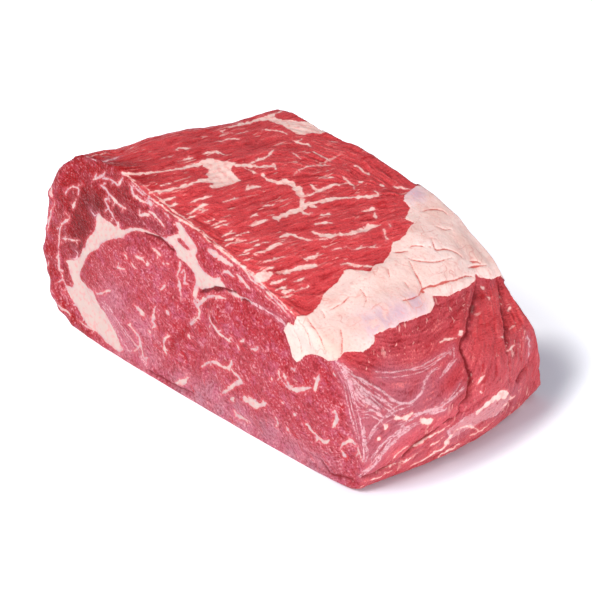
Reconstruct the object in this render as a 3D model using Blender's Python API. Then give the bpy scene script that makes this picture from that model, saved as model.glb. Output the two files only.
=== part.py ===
"""A raw boneless ribeye joint: one solid, cut square at both ends.

The section is drawn at each cut as a polygon with rounded corners, and the body is lofted between the two.
Then the surface gets its relief: the bulge of the muscles, the seams between them, the fat flap that lies over
the right edge, and the leaves of muscle down the right side.
+X runs across the front cut, +Y into the joint along the muscle, and +Z up from the face that it rests on.
"""

import math

import bpy
import numpy as np
from mathutils import Vector, noise

MM = 0.001

# The two cuts. The back one leans, so that the joint is shorter along its top.
FRONT_CUT_Y = -54.5 * MM
BACK_CUT_Y = 48.0 * MM
BACK_LEAN = 0.061
CUT_EDGE_RADIUS = 1.8 * MM

# Corners of the section as (x, z, radius), anticlockwise as seen from the front, from the bottom left.
# The thick side of the joint is on the left, and the thin lip of the ribs was on the right.
FRONT_SECTION = np.array([
    (-89, 0, 22),
    (87, 0, 6),
    (90, 19, 26),
    (83, 54, 12),
    (33, 75, 40),
    (-13, 84, 60),
    (-51, 93.5, 24),
    (-75, 92.5, 18),
    (-92, 74, 50),
    (-103, 28.5, 34),
]) * MM
BACK_SECTION = np.array([
    (-78, 0, 20),
    (99, 0, 8),
    (96.5, 34, 18),
    (56, 70.5, 22),
    (31, 77.5, 30),
    (-9, 83, 60),
    (-36, 84, 20),
    (-52.5, 84, 14),
    (-66, 58, 50),
    (-80, 26, 34),
]) * MM
BOTTOM_LEFT, BOTTOM_RIGHT, TOP_RIGHT, TOP_LEFT = 0, 1, 3, 7

# How far the soft sides swell between the cuts, for each corner, as (x, z).
SWELL = np.array([
    (-3, 0), (7, 0), (9, 4), (4, 3), (1, 1), (0, 0), (0, 0), (0, 0), (-1, 0), (-3, 0),
]) * MM

# The front cut sags outward along its foot: by how much, and over what half width and height.
FOOT_SAG = 4.0 * MM
FOOT_HALF_WIDTH = 94 * MM
FOOT_HEIGHT = 60 * MM

# The two eyes of muscle that the cuts show, as (x, z, half width, half height, tilt in degrees).
EYES = (
    (-37 * MM, 39 * MM, 41 * MM, 30 * MM, 8),
    (40 * MM, 32 * MM, 47 * MM, 28 * MM, -12),
)
EYE_BULGE = 1.7 * MM
SEAM_DEPTH = 1.1 * MM
SEAM_HALF_WIDTH = 2.6 * MM

# The leaves of muscle down the right side: each ends at a crease, given as (y, z) points from the bottom up.
LEAF_CREASES = (
    np.array([(-50, 3), (-37, 10), (-19, 18), (-9, 24), (-4, 34), (3, 45), (26, 56)]) * MM,
    np.array([(21, 0), (23, 21), (23, 33), (29, 41), (38, 48)]) * MM,
)
LEAF_THICKNESS = 2.2 * MM
LEAF_TAPER = 16 * MM
CREASE_HALF_WIDTH = 1.6 * MM

# The fat flap over the right edge: its border up on the top as (y, x), and down on the side as (y, z).
FLAP_UPPER = np.array([(-54, 52), (0, 52.5), (12, 47.5), (25, 40), (37, 29), (48, 26)]) * MM
FLAP_LOWER = np.array([(-54, 57), (-35, 58), (-13, 58), (0, 60), (15, 56.5), (30, 55), (42, 52)]) * MM
FLAP_THICKNESS = 2.2 * MM
FLAP_THIN_SHARE = 0.45
FLAP_EDGE = 2.5 * MM
FLAP_WIDTH = 27 * MM

# Furrows along the top, between the bundles of fibre, and the unevenness of the whole surface.
FURROW_DEPTH = 1.1 * MM
FURROW_ACROSS = 8 * MM
FURROW_ALONG = 42 * MM
UNEVENNESS = ((1.3 * MM, 24 * MM), (0.5 * MM, 9 * MM))

# Relief dies out towards the underside, so that the joint rests flat.
FLOOR_FADE = 9 * MM

# Cells across the bottom and top, up each side, and from cut to cut.
CELLS_X, CELLS_Z, CELLS_Y = 50, 20, 30
ARC_STEPS = 12


def rounded_outline(section):
    """Points round the section with each corner as an arc, and the arc-middle index of each corner."""
    corners, radii = section[:, :2], section[:, 2]
    before = corners - np.roll(corners, 1, axis=0)
    after = np.roll(corners, -1, axis=0) - corners
    points, middles = [], []
    for corner, radius, arrive, leave in zip(corners, radii, before, after):
        arrive = arrive / np.linalg.norm(arrive)
        leave = leave / np.linalg.norm(leave)
        turn = math.acos(np.clip(arrive @ leave, -1, 1))
        turn_side = np.sign(arrive[0] * leave[1] - arrive[1] * leave[0])
        start = corner - arrive * radius * math.tan(turn / 2)
        across = np.array([-arrive[1], arrive[0]]) * turn_side
        for step in range(ARC_STEPS + 1):
            angle = turn * step / ARC_STEPS
            point = start + radius * (arrive * math.sin(angle) + across * (1 - math.cos(angle)))
            points.append(point)
        middles.append(len(points) - 1 - ARC_STEPS // 2)
    return np.array(points), middles


def evenly_spaced(points, count):
    """The polyline as count + 1 points at even distances along it."""
    steps = np.linalg.norm(np.diff(points, axis=0), axis=1)
    along = np.concatenate([[0], np.cumsum(steps)])
    wanted = np.linspace(0, along[-1], count + 1)
    return np.column_stack([np.interp(wanted, along, points[:, axis]) for axis in (0, 1)])


def ring_of(section):
    """The outline as one ring of points: along the bottom, up the right, back along the top, down the left."""
    points, middles = rounded_outline(section)
    marks = [middles[corner] for corner in (BOTTOM_LEFT, BOTTOM_RIGHT, TOP_RIGHT, TOP_LEFT)]
    looped = np.concatenate([points, points])
    marks.append(marks[0] + len(points))
    counts = (CELLS_X, CELLS_Z, CELLS_X, CELLS_Z)
    sides = [
        evenly_spaced(looped[start:end + 1], count)[:-1]
        for start, end, count in zip(marks, marks[1:], counts)
    ]
    return np.concatenate(sides)


def inset(ring, distance):
    """The ring moved in by a distance, square to itself."""
    tangent = np.roll(ring, -1, axis=0) - np.roll(ring, 1, axis=0)
    tangent /= np.linalg.norm(tangent, axis=1, keepdims=True)
    inward = np.column_stack([-tangent[:, 1], tangent[:, 0]])
    return ring + inward * distance


def stations():
    """Each ring's share of the way from front to back, and how far it is drawn in at the cuts' round edges."""
    length = BACK_CUT_Y - FRONT_CUT_Y
    edge = [0, 0.35, 1]
    near = [CUT_EDGE_RADIUS * step / length for step in edge]
    drawn_in = [CUT_EDGE_RADIUS * (1 - math.sqrt(1 - (1 - step) ** 2)) for step in edge]
    middle = np.linspace(near[-1], 1 - near[-1], CELLS_Y - 3)[1:-1]
    shares = [*near, *middle, *(1 - share for share in reversed(near))]
    insets = [*drawn_in, *(0 for _ in middle), *reversed(drawn_in)]
    return shares, insets


def place(ring, share):
    """The flat ring of (x, z) as points in space, on the plane that is share of the way from cut to cut."""
    x, z = ring.T
    sag = np.clip(1 - (x / FOOT_HALF_WIDTH) ** 4, 0, 1) * np.clip(1 - z / FOOT_HEIGHT, 0, 1)
    front = FRONT_CUT_Y - FOOT_SAG * sag
    back = BACK_CUT_Y - BACK_LEAN * z
    return np.column_stack([x, front + share * (back - front), z])


def body_rings():
    """All rings from the front cut to the back one."""
    rings = []
    for share, drawn_in in zip(*stations()):
        section = FRONT_SECTION + share * (BACK_SECTION - FRONT_SECTION)
        section[:, :2] += SWELL * math.sin(math.pi * share)
        rings.append(place(inset(ring_of(section), drawn_in), share))
    return np.array(rings)


def cut_face(ring):
    """Grid of points over a cut, blended from the four sides of its ring."""
    bottom = ring[:CELLS_X + 1]
    right = ring[CELLS_X:CELLS_X + CELLS_Z + 1]
    top = ring[CELLS_X + CELLS_Z:2 * CELLS_X + CELLS_Z + 1][::-1]
    left = np.concatenate([ring[2 * CELLS_X + CELLS_Z:], ring[:1]])[::-1]
    u = np.linspace(0, 1, CELLS_X + 1)[:, None, None]
    v = np.linspace(0, 1, CELLS_Z + 1)[None, :, None]
    ruled_up = (1 - v) * bottom[:, None] + v * top[:, None]
    ruled_across = (1 - u) * left[None] + u * right[None]
    corners = (
        (1 - u) * (1 - v) * bottom[0] + u * (1 - v) * bottom[-1]
        + (1 - u) * v * top[0] + u * v * top[-1]
    )
    return ruled_up + ruled_across - corners


def ring_index(u, v):
    """Place in a ring of the grid corner (u, v) of a cut, which lies on the cut's border."""
    around = 2 * (CELLS_X + CELLS_Z)
    if v == 0:
        return u
    if u == CELLS_X:
        return CELLS_X + v
    if v == CELLS_Z:
        return 2 * CELLS_X + CELLS_Z - u
    return around - v


def build_grid():
    """Points and four-sided faces of the closed body."""
    rings = body_rings()
    count, around = rings.shape[:2]
    points = list(rings.reshape(-1, 3))
    faces = []
    for level in range(count - 1):
        for step in range(around):
            following = (step + 1) % around
            here, beyond = level * around, (level + 1) * around
            faces.append((here + step, beyond + step, beyond + following, here + following))
    for level, flipped in ((0, False), (count - 1, True)):
        grid = cut_face(rings[level])
        index = np.zeros((CELLS_X + 1, CELLS_Z + 1), int)
        for u in range(CELLS_X + 1):
            for v in range(CELLS_Z + 1):
                if u in (0, CELLS_X) or v in (0, CELLS_Z):
                    index[u, v] = level * around + ring_index(u, v)
                else:
                    index[u, v] = len(points)
                    points.append(grid[u, v])
        for u in range(CELLS_X):
            for v in range(CELLS_Z):
                face = (index[u, v], index[u, v + 1], index[u + 1, v + 1], index[u + 1, v])
                faces.append(face if flipped else face[::-1])
    return np.array(points), faces


def smooth_step(value):
    """0 below 0, 1 above 1, and a smooth rise between."""
    value = min(max(value, 0.0), 1.0)
    return value * value * (3 - 2 * value)


def cut_relief(point):
    """Bulge of the eyes of muscle on a cut, with the seam of fat round each sunk in."""
    height = 0.0
    for x, z, half_width, half_height, tilt in EYES:
        turn = math.radians(tilt)
        across, up = point.x - x, point.z - z
        along = (across * math.cos(turn) + up * math.sin(turn)) / half_width
        aside = (up * math.cos(turn) - across * math.sin(turn)) / half_height
        reach = math.hypot(along, aside)
        height += EYE_BULGE * max(0.0, 1 - reach * reach)
        from_seam = (reach - 1) * half_height / SEAM_HALF_WIDTH
        height -= SEAM_DEPTH * math.exp(-from_seam * from_seam)
    return height


def leaf_relief(point):
    """Each leaf on the right side grows thicker towards its crease, and the next one starts low behind it."""
    height = 0.0
    for crease in LEAF_CREASES:
        behind = point.y - np.interp(point.z, crease[:, 1], crease[:, 0])
        taper = math.exp(-abs(behind) / LEAF_TAPER)
        height -= LEAF_THICKNESS * taper * math.tanh(behind / CREASE_HALF_WIDTH) / 2
        height -= LEAF_THICKNESS / 2 * math.exp(-(behind / CREASE_HALF_WIDTH / 2) ** 2)
    return height


def flap_relief(point):
    """The flap of fat grows thicker from its border on the top to its lip on the side."""
    upper = np.interp(point.y, FLAP_UPPER[:, 0], FLAP_UPPER[:, 1])
    lower = np.interp(point.y, FLAP_LOWER[:, 0], FLAP_LOWER[:, 1])
    inside = smooth_step((point.x - upper) / FLAP_EDGE) * smooth_step((point.z - lower) / FLAP_EDGE)
    growth = min(1.0, max(0.0, (point.x - upper) / FLAP_WIDTH))
    return FLAP_THICKNESS * inside * (FLAP_THIN_SHARE + (1 - FLAP_THIN_SHARE) * growth)


def furrow_relief(point):
    """Furrows that run into the joint along the top."""
    stretched = Vector((point.x / FURROW_ACROSS, point.y / FURROW_ALONG, 0))
    return FURROW_DEPTH * noise.noise(stretched)


def relief(point, normal):
    """How far a point of the smooth body moves out along its normal."""
    height = sum(depth * noise.noise(point / size) for depth, size in UNEVENNESS)
    height += normal.y ** 2 * cut_relief(point)
    height += max(0.0, normal.x) ** 2 * leaf_relief(point)
    height += (1 - normal.y ** 2) * flap_relief(point)
    height += max(0.0, normal.z) ** 2 * furrow_relief(point)
    return height * smooth_step(point.z / FLOOR_FADE)


def add_relief(mesh):
    moves = [vertex.normal * relief(vertex.co, vertex.normal) for vertex in mesh.vertices]
    for vertex, move in zip(mesh.vertices, moves):
        vertex.co += move


def stand_on_origin(mesh):
    """Put the middle of the underside's box on the origin."""
    places = np.array([vertex.co for vertex in mesh.vertices])
    low, high = places.min(axis=0), places.max(axis=0)
    middle = (low + high) / 2
    for vertex in mesh.vertices:
        vertex.co -= Vector((middle[0], middle[1], low[2]))


def meat_material():
    """Raw lean beef: a deep pinkish red with a wet surface."""
    material = bpy.data.materials.new("raw_beef")
    material.use_nodes = True
    surface = material.node_tree.nodes["Principled BSDF"]
    surface.inputs["Base Color"].default_value = (0.50, 0.06, 0.06, 1)
    surface.inputs["Roughness"].default_value = 0.35
    surface.inputs["Metallic"].default_value = 0
    return material


def main():
    for obj in list(bpy.data.objects):
        bpy.data.objects.remove(obj)
    points, faces = build_grid()
    mesh = bpy.data.meshes.new("ribeye")
    mesh.from_pydata(points.tolist(), [], faces)
    mesh.update()
    add_relief(mesh)
    stand_on_origin(mesh)
    mesh.shade_smooth()
    joint = bpy.data.objects.new("ribeye", mesh)
    joint.data.materials.append(meat_material())
    bpy.context.scene.collection.objects.link(joint)


main()
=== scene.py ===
"""Looks of the raw ribeye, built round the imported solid.

A fine skin is remeshed from the solid. Seams, veins, creases and the flap of fat are strokes on it: each is
drawn where the camera sees it and cast onto the skin, so that it lies on the meat from any side. The skin's
relief and its material both follow them.
"""

import math
import random

import bmesh
import bpy
import numpy as np
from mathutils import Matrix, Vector, noise
from mathutils.bvhtree import BVHTree
from mathutils.kdtree import KDTree


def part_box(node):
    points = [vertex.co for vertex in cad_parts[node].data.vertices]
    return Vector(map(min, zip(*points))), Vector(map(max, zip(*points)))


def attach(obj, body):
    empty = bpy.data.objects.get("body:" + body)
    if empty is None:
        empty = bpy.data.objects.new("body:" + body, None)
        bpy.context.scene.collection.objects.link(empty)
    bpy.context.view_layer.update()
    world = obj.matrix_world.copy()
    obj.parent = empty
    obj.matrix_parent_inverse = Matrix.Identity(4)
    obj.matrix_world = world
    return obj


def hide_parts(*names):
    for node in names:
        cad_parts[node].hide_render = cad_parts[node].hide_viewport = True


MM = 0.001
TINY = 1e-12

# The camera, at the photograph's angle. Pixels of its image are counted from the top left.
IMAGE_WIDTH, IMAGE_HEIGHT = 592, 596
FOCAL_PIXELS = 2112
SENSOR_WIDTH = 36
CAMERA_AZIMUTH = math.radians(44)
CAMERA_ELEVATION = math.radians(33)
CAMERA_DISTANCE = 0.9
CAMERA_TARGET = np.array([-0.8, 5.0, 27]) * MM

# The skin: voxels of the remesh, which the side that faces the camera halves again, and rounds of smoothing.
WELD_DISTANCE = 0.01 * MM
VOXEL = 1.0 * MM
SMOOTHING_ROUNDS = 5
SHOWN_FACING = -0.1

# How far a stroke's field reaches, and the jump on the skin that breaks a stroke.
STROKE_REACH = 7.0 * MM
BIGGEST_JUMP = 7.0 * MM

# Strokes in pixels: the step along one and how much it wavers. Then, as shares of its width, its ends and the
# range that the width wavers in, and how many times as wide some kinds are made.
STROKE_SEED = 3
STROKE_STEP = 3.0
STROKE_SHAKE = 0.3
STROKE_END_SHARE = 0.35
WIDTH_WAVER = (0.45, 1.35)
TOP_SEAM_WIDENING = 1.35
TOP_VEIN_WIDENING = 1.15
CUT_VEIN_WIDENING = 1.15

# The threads of a membrane: how many run beside the main one, how far off in pixels, and shares of its width.
THREADS = 3
THREAD_SPREAD = 2.2
THREAD_SHAKE = 0.8
MAIN_THREAD_SHARE = 0.6
THREAD_SHARES = (0.2, 0.5)

# Twigs that leave a vein: spacing and lengths in pixels, then their share of its width, which counts as at
# least so many millimetres. Then their bend in radians, and the angles at which they leave, in degrees.
TWIG_SPACING = 17.0
TWIG_LENGTHS = (2.5, 6.0)
TWIG_SHARE = 0.5
TWIG_LEAST_PARENT = 0.5
TWIG_BEND = 0.35
CUT_TWIG_ANGLES = (35, 75)
TOP_TWIG_ANGLES = (12, 40)

# Veins on the sides that the camera doesn't see: widths, lengths and steps in millimetres, the spread of
# their headings and turns in radians, and how many times as much those on the back cut turn.
HIDDEN_SEED = 7
HIDDEN_VEINS = 100
HIDDEN_HALF_WIDTHS = (0.3, 0.9)
HIDDEN_LENGTHS = (4.0, 26.0)
HIDDEN_STEP = 1.5
HIDDEN_HEADING = 0.35
HIDDEN_TURN = 0.16
BACK_TURN_FACTOR = 3

# Which way the fibres run, and how much longer than wide their marks are. The top's angle is from +Y to +X.
TOP_FIBRE_ANGLE = math.radians(9)
SIDE_FIBRE_ANGLE = math.radians(24)
CUT_FIBRE_ANGLE = math.radians(-42)
TOP_STRETCH = 5.5
SIDE_STRETCH = 3.4375
CUT_STRETCH = 2.4

# Colours, as display values from 0 to 255. The last three are linear.
TOP_LEAN = (208, 69, 73)
# Partly painted shade: the cut's lean is set darker than the top's, to offset the stronger light that falls
# on the cut faces.
CUT_LEAN = (172, 58, 69)
CUT_PALE = (184, 108, 122)
CUT_DEEP = (166, 36, 46)
CAP = (140, 6, 14)
CAP_DEEP = (102, 2, 8)
CAP_PURPLE = (134, 28, 40)
RIM = (152, 14, 20)
SIDE_LEAN = (189, 73, 81)
SIDE_PALE = (174, 86, 98)
SIDE_DEEP = (180, 56, 64)
SIDE_BRIGHT = (208, 86, 98)
UNDER_LEAN = (190, 70, 80)
LIGHT_FIBRE = (238, 126, 124)
DEEP_FIBRE = (172, 16, 26)
PURPLE_SHEEN = (180, 84, 108)
CUT_BAND = (166, 120, 134)
FINE_CRACK = (222, 146, 136)
# Partly painted shade: the cut's fats are set darker than their like on the top, to offset the stronger light
# that falls on the cut faces.
CUT_FAT = (196, 172, 164)
CUT_FAT_PINK = (206, 148, 146)
CUT_FAT_SHADE = (184, 142, 150)
SHEER = (180, 98, 113)
SHEER_FAT = (214, 148, 152)
# Painted light: a lighter wash on the flap's right part, which faces away from the key lamp.
FLAP_PAINTED_LIGHT = (250, 224, 217)
PALE_GRAIN = (230, 160, 168)
FAT = (237, 199, 190)
FAT_PINK = (230, 162, 155)
VEIN_HALO = (214, 96, 102)
FLAP_FAT = (240, 208, 199)
FLAP_SHADE = (235, 194, 184)
# Painted shade: a darker wash on the flap's left end, where it wraps onto the cut face and takes the key lamp
# straight on.
FLAP_END_PAINTED_SHADE = (208, 182, 172)
FLAP_STAIN = (236, 178, 158)
FLAP_LAVENDER = (206, 170, 184)
CRACK = (198, 56, 46)
MEMBRANE = (230, 190, 194)
SLIT = (112, 20, 28)
CREASE = (118, 14, 22)
DARKENING = (0.62, 0.32, 0.36)
FLOOR_COLOUR = (0.87, 0.91, 0.99)
SKY_COLOUR = (0.95, 0.93, 1.0)


def pixel_path(text):
    """Points from text such as "12,34 13.5,35,0.6": x and y, and for some what else they have."""
    return tuple(tuple(float(number) for number in point.split(",")) for point in text.split())


def pixel_paths(text):
    """Paths from text, between semicolons."""
    return tuple(pixel_path(path) for path in text.split(";"))


def stroke_table(text):
    """Strokes from text such as "0.5: 12,34 13,35; 0.4: 5,6 7,8": for each, its half width and its points."""
    rows = (entry.split(":") for entry in text.split(";"))
    return tuple((float(half_width), pixel_path(path)) for half_width, path in rows)


# Strokes and areas, in pixels of the image. A stroke starts with its half width in millimetres, which is 0
# where its points have their own.

# Areas of fat too broad for a stroke. A second loop in an area is a hole in it.
FAT_AREAS = (
    pixel_paths("""
    98.7,213 101,216.5 105,220 110,223 113.5,226.5 116,226 117,221.5 118.5,222 118.5,228 121,229.5
    127.5,229 135,228 140,228.3 146,230.3 152.5,232.7 158.7,236.4 165,238.2 169,236.3 175,235.4 178,233.5
    178,229 176,225 175,222 178.7,222.5 182,226 185.5,231 189,235.6 192.5,240 195.6,245 197,250.5 196,257
    198,264 203.7,271.5 211,277 216,278 220,276.5 221,281.5 225,286.3 228,289 220,288 213.4,288.3 206,289
    200.5,290.3 198,285.4 196.3,278.5 193.8,272.8 190.2,268 186,263.8 182,261 179,259 176.5,255
    175.6,250.5 171.5,245 166,240.8 158.7,238.6 152.5,235.2 146,232.6 140,231.2 135,230.6 130,231.6
    126,234.2 122.5,237.6 118,238.3 112,239 106,240.8 101.5,243.8 99,248 94,250.5 89,253.2 86,258 83,264
    80.2,270 79.3,275 81.3,280 85,284.3 89,288 93,291.5 95.5,297 98,303 101,307.5 104.2,311.5 107,317
    109.5,322.5 113,328 116,333 119,339 121,345 123,350 119,352 112,347 106,342.5 100,336 95,331.5
    90,326.8 85,321 81,314.5 77,307.5 73,299.5 69.5,292.5 66,286 68.5,285.5 72.5,287 73.5,284 71.5,278
    70,270.5 67.7,264 65,260.7 68,259.5 72,260.3 77,259.7 79.5,255.5 82,250.5 85.5,246 86.5,240.5
    89.5,236.5 92.5,233.5 95.3,229 96,224 96,219 97,214.5; 177,238.5 181,238.5 184.5,242 188.5,246.5
    190.5,250 187,250 182,246 178,242
    """),
    pixel_paths("""
    203,162.5 212,160 219,160.5 228,162 236,163 232,167 231,171 236,176 241,180 234,183 227,184.5 220,187
    213,188 209,186.5 214,183 206,182 209,178 206,174 209,169 203,166.5
    """),
    pixel_paths("""
    267,118.5 275,117 283,120 291,120 300,121 310,122 320,126 326,131 322,134 312,133 304,134.5 297,133.5
    288,130 283,126 275,123
    """),
)
CUT_SEAMS = stroke_table("""
0.45: 69,220 64,222 60.5,228 59,240 59,252 59.5,265 62,275 66,285 70,292 76,301 81,311 87,321 94,329 100,335
    107,342;
0.6: 179,260 180,266 178,275 179,284 180.6,294 180.6,301;
0.6: 184,270 185,276 184,286;
0.8: 195,275 197.5,284 195.6,291 194,296 196,304 199,311 197.5,317 192.5,321 189,326;
1.1: 197,299 199,302;
0.5: 189,326 197,320;
0.5: 190,321 196,316;
0.7: 192.5,295.5 194,302.7 197.5,305.6 200.4,302.7 206,298.4 212,296 219,297 225,298.4;
0.9: 226.5,291 233.8,294 241,297 246.8,299.9 252.6,303.5
""")
CAP_VEINS = stroke_table("""
0.45: 90,180.6 95,179 100,176 102,173;
0.5: 100,179 107.5,180 114,184 117.5,185.6 120,181 122.5,177.5;
0.6: 99,187 104,189 107.5,194 112.5,199 117.5,204 125,209;
0.5: 104,200 109,199;
0.4: 104,201 108,207.5 111,214 115,221 117,226;
0.6: 127.5,181 131,187.5 134,195 139,200 147.5,204;
0.35: 65,194 67.5,189 72.5,187 77.5,189 78,195;
0.5: 76,199 74,205 72,209;
0.5: 60.6,226 64,222.5 69,220 70,215;
0.5: 61,239 67.5,239 75,240 80,241;
0.6: 139,210 140,215 146,214 150,215;
0.6: 149,211 154,215 160,221 165,226;
0.9: 164,212.5 170,219;
1.1: 148,202 150,205;
1.3: 208,250 213.5,253.5 221,258.5 228,263.6 232,265;
0.5: 223,272 228,272 234,277;
0.7: 236.7,275 242.5,281 249.7,288;
0.6: 181,225 187.5,235
""")
EYE_VEINS = stroke_table("""
0.55: 152.5,247.5 156,251 161,256;
0.6: 135,256 141,258 144,262;
0.5: 124,255 127.5,259;
0.5: 131,262.5 136,269;
0.4: 119,262.5 117.5,267.5 125,269;
0.7: 145,266 149,264;
0.7: 163,263 165,265;
0.4: 95,292 100,294 105,292 110,290;
1.1: 135,306 141,311 143,316;
0.6: 156,306 154,311 154,317 152.5,321 157,327.5;
0.6: 166,311 169,315;
0.9: 148,332 150,333;
0.55: 127.5,325 134,331 139,337.5 141,345 142.5,355 147.5,364;
0.6: 131,339 135,345 139,350;
0.6: 170,336 164,339 164,345 165,352 166,356;
0.4: 165,285 161,290;
0.6: 187.5,335 190,338;
0.55: 208,310 210.6,320 216,329 222,336 231,342;
0.6: 239.6,342 244,340;
0.55: 236.7,345 238.8,350.6;
0.6: 251,349 257,350;
0.7: 201,367 206,363 213.5,362 219,365 226.5,368 231,366 231.6,360.7;
0.8: 232,369.4 236.7,375 241,381 233.8,385 228,389.7 222,394;
0.8: 175,383 181.6,382.5 186,379.6 187.4,376.7;
1.6: 242.5,398 251,402.8 260,405 266,402.8;
0.6: 233.8,411.4 241,417 249.7,421.6;
0.7: 229.4,400 233.8,398.4;
0.4: 278.7,371 279.4,376.7 284.5,384 290.3,389.7;
0.7: 283,373.8 286,379.6 290,386.8 296,390.4 303.3,389 312,388;
0.7: 319.3,375 316.4,382.5 315,391;
0.6: 271.5,376.7 272,381;
0.5: 290,368 294.6,371;
0.6: 275.8,417 278.7,426;
0.6: 287.4,427.4 290,430;
0.7: 304.8,424.5 312,431.7 320.7,439 325.8,442.6 329.4,439;
0.7: 335,411.4 336.7,418.7 332,427.4;
0.7: 339.6,449 344,444 351,441 357,446;
0.7: 341,450.6 344,455 346,456.4;
0.5: 357,446 362.8,462;
0.7: 281,402 282.5,404;
0.6: 294,414 295.5,415;
0.5: 334.5,373 335.5,376
""")
TOP_SEAMS = stroke_table("""
0: 122.5,172.5,0.9 130,173.7,0.6 142.5,173,0.6 155,172,0.6 167.5,170.6,0.6 180,168.7,0.7 192.5,165.6,0.9
    202.5,163,1.1 210,161,1.4;
0: 150,192.5,0.5 162.5,191,0.6 172.5,189,0.7 182.5,187,0.7 192.5,184,0.8 202.5,180.6,0.9 210,179,1.2;
0.7: 230,165 240,165.6 250,165 257.5,166 267.5,167 273.7,165 276,169;
0.45: 250,164 255,161 262.5,159 269,155 274,149;
0: 262.5,175,0.6 269,180,0.7 277.5,182.5,0.8 285,182.5,1;
1.2: 281,181 287.5,182.5 294,186 300,191 301,195 305,196;
0.6: 305,196 312.5,194 319,190.6 325,188 332.5,185 341,184;
0: 306,204,0.9 319,202,0.8 331,199,0.8 344,197.5,0.7 356,197,0.7 369,197,0.6 377.5,196,0.6 375,191,0.5;
0: 302.5,199,1.1 302.5,204,1.1 305,207.5,1 297.5,210,1 287.5,213,0.9 280,216,0.9 275,217.5,0.8;
0.9: 312.5,231 319,235 327.5,236 337.5,235 350,234 359,231 365,230 370,226 380,225;
2: 256,277 263,276 270,274;
0: 285,272.5,0.6 295,269,0.7 302.5,267.5,0.9 315,265,0.9
""")
TOP_VEINS = stroke_table("""
0.6: 246,168 252.5,171 257.5,174;
0.6: 283,179 285,182;
0.6: 310,184 312.5,185 316,190;
0.7: 267.5,220 259,223 252.5,225 247.5,225;
0.6: 300,210 305,214 312.5,214;
0.8: 306,205 316,207.5;
0.8: 246,190 252.5,187.5 261,186;
0.5: 160,201 167.5,199 175,197.5;
0.6: 187.5,214 195,210 205,205;
0.4: 186,219 195,215 207.5,210;
0.6: 250,217.5 257.5,213;
0.45: 177.5,161 186,159 194,157;
0.5: 175,149 182.5,148 190,147.5;
0.6: 204,154 212.5,152 219,152 225,154;
0.5: 220,131 225,133 232.5,133;
0.5: 235,134 247.5,131;
0.6: 292.5,140 300,142.5 307.5,144 311,147.5;
0.5: 312.5,151 319,154 325,157.5 331,161;
0.45: 291,152.5 296,155 300,159;
0.45: 294,175 297.5,171 306,167.5 319,165 330,164;
0.5: 329,141 337.5,141;
0.6: 322.5,177.5 334,177.5;
0.6: 342.5,177.5 350,182.5 355,185;
0.5: 354,166 359,167.5 364,172.5 369,175;
0.9: 359,181 362.5,182.5;
0.7: 380,184 385,186;
0.5: 395,186 410,189;
0.7: 362.5,210.6 370,210 374,207.5;
0.6: 375,212.5 376,217.5;
0.6: 320,215 331,214;
0.6: 314,224 320,223 332.5,222.5;
0.7: 277.5,237.5 284,235 291,234 297.5,236 305,239 312.5,240.6;
0.5: 364,226 366,231;
0.5: 320,240 327.5,236;
0.7: 261,253 269,249 275,245 284,241;
0.6: 305,259 312.5,257 319,255;
0.7: 384,229 385,235 387.5,239;
0.5: 389,224 391,227;
0.7: 341,265 347.5,263 355,265 362.5,266 374,266;
0.5: 225,240 235,237.5;
0.4: 244,261 252.5,257.5;
0.35: 235,256 250,252.5;
0.4: 174,224 181,225;
0.45: 205,222 214,219;
0.45: 222,236 228,233 234,232;
0.5: 233,244 243,241;
0.45: 243,252 253,248;
0.5: 262,271 274,267;
0.45: 272,284 284,280;
0.5: 281,293 292,290;
0.4: 196,212 204,209;
0.4: 168,206 178,203;
0.4: 214,228 224,225 232,222;
0.35: 246,244 258,240;
0.5: 253,246 262,243 270,241;
0.6: 276,290 287,286;
0.5: 281,298 291,295;
0.4: 254,254 264,251 273,248;
0.55: 270,260 284,256;
0.45: 271,284 287,278;
0.45: 284,294 294,290;
0.4: 211,226 225,220;
0.4: 197,208 208,205;
0.4: 232,237 249,232;
0.45: 190,203 200,199 212,196;
0.4: 160,186 172,183;
0.5: 225,246 236,241 246,240;
0.4: 262,263 272,260;
0.4: 293,282 306,277;
0.35: 300,290 309,286;
0.4: 223,202 238,198;
0.35: 262,206 276,203;
0.4: 352,250 366,247 378,248;
0.35: 332,250 346,247;
0.4: 214,142 228,139 240,139;
0.35: 160,158 174,155;
0.4: 262,130 276,131 288,135
""")
CREST_LINES = stroke_table("""
0.5: 129,177.5 137.5,186 144,192.5 152.5,200 165,207.5 177.5,217.5 190,225 199,231 210,241 220,249 227.5,255
    237.5,264 245,270 251,279.6 262.8,288 271.5,297 280,305.7 290,317 294.6,324.5;
0.38: 122,172 137,181 148,190 160,199 175,211 188,221 202,231 214,241 230,255 241,265 254,277 266,288 279,300
    287,308 297,318;
0.25: 131,183 142,194 156,206;
0.25: 240,262 252,272 262,281;
0.25: 256,288 268,298 281,311
""")
BACK_PATCHES = stroke_table("""
0.45: 60,300 66,308 72,315;
0.4: 78,320 88,327 97,332;
0.4: 48,262 50,275 54,288;
0.35: 55,200 50,215 48,232;
0.9: 52,187 51.5,192 52.5,197;
1.3: 228,127 245,123 262,119 275,114 284,110
""")
PALE_LINES = stroke_table("""
1: 252.6,302.7 260,307 268.5,311.4 275.8,316.5 283,323 287.4,330 290.3,337.5 293,347.7 294.6,357.8;
0.35: 75,250 77.5,254 76,259 71,259;
0.35: 90,210 92.5,214 97.5,215;
0.5: 81,159 90,156 99,156 110,154 120,151;
0.5: 532,335 533,350 532,362
""")
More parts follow.
